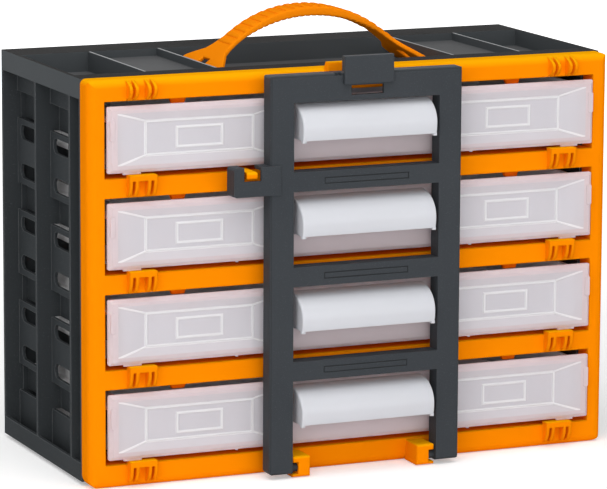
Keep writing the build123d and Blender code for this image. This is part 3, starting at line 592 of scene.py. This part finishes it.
def makeRibTree():
    tree = bpy.data.node_groups.new("ribsAlongPath", "GeometryNodeTree")
    for name, kind in (("Path", "Geometry"), ("Rib", "Object"), ("Rib count", "Int"), ("Finish", "Material")):
        tree.interface.new_socket(name, in_out="INPUT", socket_type="NodeSocket" + kind)
    tree.interface.new_socket("Ribs", in_out="OUTPUT", socket_type="NodeSocketGeometry")
    given = tree.nodes.new("NodeGroupInput").outputs
    path = put(tree, "GeometryNodeMeshToCurve", None, {"Mesh": given["Path"]}).outputs["Curve"]
    points = put(tree, "GeometryNodeResampleCurve", None,
                 {"Curve": path, "Count": given["Rib count"]}).outputs["Curve"]
    tangent = put(tree, "GeometryNodeInputTangent").outputs["Tangent"]
    turn = put(tree, "FunctionNodeAlignRotationToVector", {"axis": "X", "pivot_axis": "Y"},
               {"Vector": tangent}).outputs["Rotation"]
    rib = put(tree, "GeometryNodeObjectInfo", None, {"Object": given["Rib"]}).outputs["Geometry"]
    ribs = put(tree, "GeometryNodeInstanceOnPoints", None,
               {"Points": points, "Instance": rib, "Rotation": turn}).outputs["Instances"]
    ribs = put(tree, "GeometryNodeRealizeInstances", None, {"Geometry": ribs}).outputs["Geometry"]
    ribs = put(tree, "GeometryNodeSetMaterial", None,
               {"Geometry": ribs, "Material": given["Finish"]}).outputs["Geometry"]
    put(tree, "NodeGroupOutput", None, {"Ribs": ribs})
    return tree


def gripLine(look, ribs):
    # the path that the ribs follow, on the band or under it
    station = strapRule(look)
    line = []
    for step in range(ribs["pathSteps"] + 1):
        reach = ribs["span"] * (2 * step / ribs["pathSteps"] - 1)
        place, normal, thick = station(reach)
        if ribs["underneath"]:
            place = place - normal * thick
        line.append((place.x, look["middle"], place.z))
    return line[::-1] if ribs["underneath"] else line


def makeRibs(name, tree, look):
    line = gripLine(strap, look)
    mesh = bpy.data.meshes.new(name)
    mesh.from_pydata(line, [(index, index + 1) for index in range(len(line) - 1)], [])
    piece = bpy.data.objects.new(name, mesh)
    scene.collection.objects.link(piece)
    rib = makeRib(name + "Shape", look)
    scene.collection.objects.link(rib)
    modifier = piece.modifiers.new("ribs", "NODES")
    modifier.node_group = tree
    inputs = {item.name: item.identifier for item in tree.interface.items_tree if item.in_out == "INPUT"}
    modifier[inputs["Rib"]] = rib
    modifier[inputs["Rib count"]] = look["count"]
    modifier[inputs["Finish"]] = finishes["orange_strap"]
    settle(piece, finishes["orange_strap"])
    bpy.data.objects.remove(rib)
    return piece


carryStrap = makeStrap(strap)
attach(carryStrap, "cabinet")
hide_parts("handle_strap")
ribTree = makeRibTree()
for ribName, ribLook in (("strapGripRibs", gripRibs), ("strapFingerRibs", fingerRibs)):
    ribs = makeRibs(ribName, ribTree, ribLook)
    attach(ribs, "cabinet")
print("strap made:", len(carryStrap.data.polygons), "faces")


# studio: pale floor, soft lamps and a white surround

studio = {
    "floorHalf": 9.0,
    "floorColour": (0.92, 0.92, 0.92, 1.0),
    "nearGlow": 0.32, "farGlow": 1.0, "nearReach": 0.5, "farReach": 1.8,  # whitens the floor, shadow kept
    "skyLow": 0.37, "skyHigh": 0.25, "skyTop": 0.9,  # world strength at the horizon and overhead
    "skyColour": (1.0, 1.0, 1.0, 1.0), "seenStrength": 1.0,
    "lamps": {
        "keyLamp": {"place": (-1.3, -1.5, 0.7), "size": (1.4, 1.2), "power": 10.0},
        "frontLamp": {"place": (0.2, -3.0, 0.6), "size": (2.2, 1.4), "power": 20.0},
        "backLamp": {"place": (-1.0, 2.4, 0.9), "size": (1.8, 1.4), "power": 12.0},
        "topLamp": {"place": (-0.4, -0.9, 2.2), "size": (2.6, 2.2), "power": 34.0},
    },
    "target": (0.0, 0.0, 0.14),
}


def seenDirectly(tree):
    rays = put(tree, "ShaderNodeLightPath").outputs
    either = maths(tree, "MAXIMUM", rays["Is Camera Ray"], rays["Is Glossy Ray"])
    return maths(tree, "MAXIMUM", either, rays["Is Transmission Ray"])


def makeFloor(look):
    half = look["floorHalf"]
    corners = [(-half, -half, 0), (half, -half, 0), (half, half, 0), (-half, half, 0)]
    mesh = bpy.data.meshes.new("floor")
    mesh.from_pydata(corners, [], [(0, 1, 2, 3)])
    floor = bpy.data.objects.new("floor", mesh)
    scene.collection.objects.link(floor)
    material, tree = freshMaterial("paleFloor")
    matte = put(tree, "ShaderNodeBsdfDiffuse", None, {"Color": look["floorColour"]})
    coords = put(tree, "ShaderNodeTexCoord").outputs["Object"]
    reach = put(tree, "ShaderNodeVectorMath", {"operation": "LENGTH"}, {0: coords}).outputs["Value"]
    lift = span(tree, reach, look["nearReach"], look["farReach"], look["nearGlow"], look["farGlow"])
    lift = maths(tree, "MULTIPLY", seenDirectly(tree), lift)
    glow = put(tree, "ShaderNodeEmission", None, {"Strength": lift})
    both = put(tree, "ShaderNodeAddShader", None, {0: matte.outputs[0], 1: glow.outputs[0]})
    put(tree, "ShaderNodeOutputMaterial", None, {"Surface": both.outputs[0]})
    mesh.materials.append(material)


def makeSurround(look):
    world = bpy.data.worlds.new("studio")
    scene.world = world
    world.use_nodes = True
    tree = world.node_tree
    tree.nodes.clear()
    height = axesOf(tree, put(tree, "ShaderNodeTexCoord").outputs["Generated"])["Z"]
    sky = span(tree, height, 0.0, look["skyTop"], look["skyLow"], look["skyHigh"])
    strength = span(tree, seenDirectly(tree), 0.0, 1.0, sky, look["seenStrength"])
    surround = put(tree, "ShaderNodeBackground", None, {"Color": look["skyColour"], "Strength": strength})
    put(tree, "ShaderNodeOutputWorld", None, {"Surface": surround.outputs[0]})


def makeLamps(look):
    for name, lamp in look["lamps"].items():
        data = bpy.data.lights.new(name, "AREA")
        data.shape = "RECTANGLE"
        data.size, data.size_y = lamp["size"]
        data.energy = lamp["power"]
        light = bpy.data.objects.new(name, data)
        light.location = lamp["place"]
        aim = Vector(look["target"]) - Vector(lamp["place"])
        light.rotation_euler = aim.to_track_quat("-Z", "Y").to_euler()
        scene.collection.objects.link(light)


makeFloor(studio)
makeSurround(studio)
makeLamps(studio)
print("studio lit")
